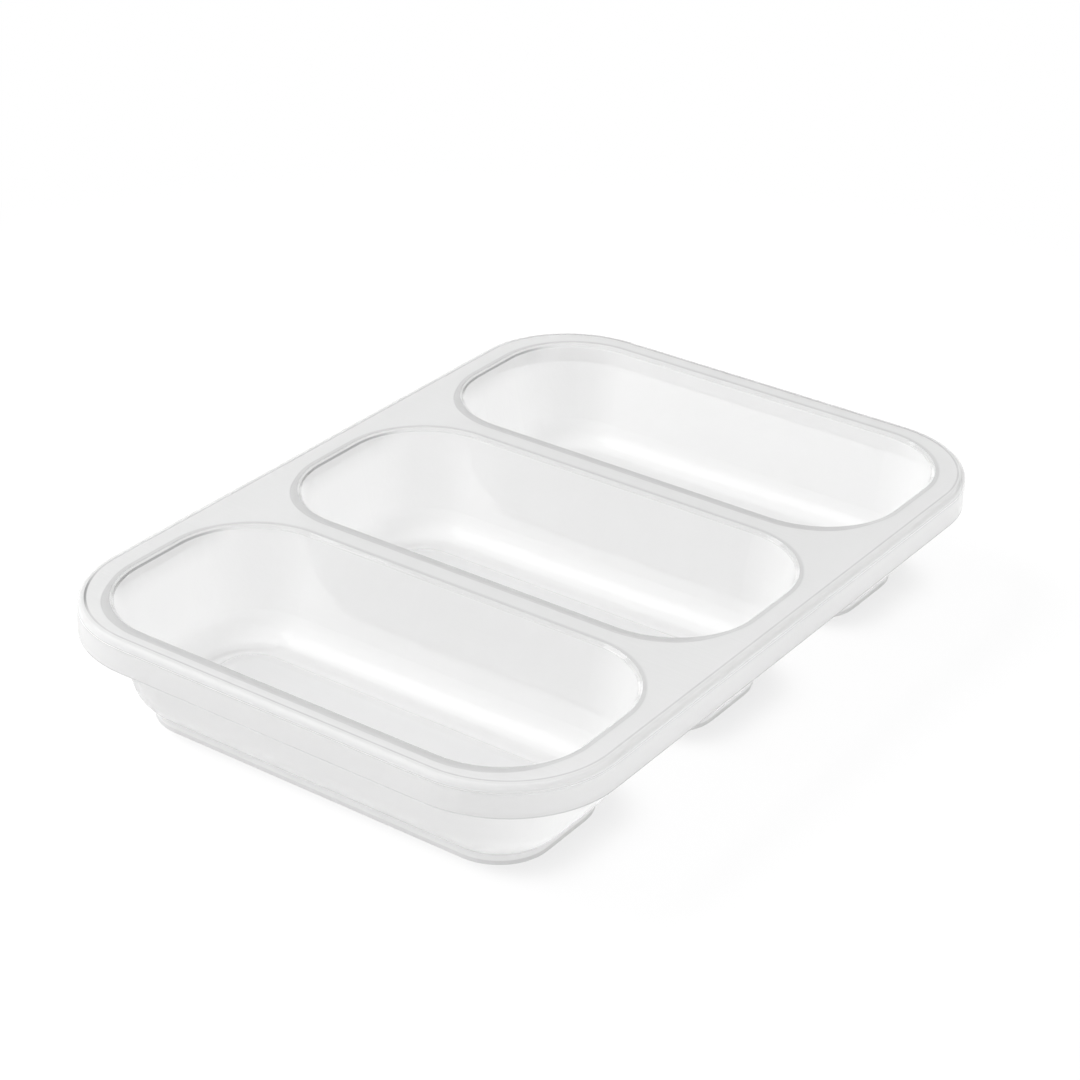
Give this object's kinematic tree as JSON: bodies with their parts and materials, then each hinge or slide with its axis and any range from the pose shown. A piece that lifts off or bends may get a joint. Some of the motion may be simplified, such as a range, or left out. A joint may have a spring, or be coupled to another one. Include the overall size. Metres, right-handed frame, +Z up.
{
  "type": "formula dispenser tray",
  "caption": "Clear moulded tray with a row of long rounded wells for measured portions of milk powder, in a flat deck with a turned-down skirt and low foot rings.",
  "frame": {"origin": "middle of the footprint, in the plane of the foot rings that the tray stands on", "axes": "+X along each well, +Y across the row of wells, +Z up out of the wells"},
  "size_m": [0.1134, 0.1634, 0.0246],
  "materials": {
    "clear_plastic": "clear, faintly milky injection-moulded plastic with a polished surface"
  },
  "bodies": {
    "root": {"tray": "clear_plastic"}
  },
  "joints": []
}
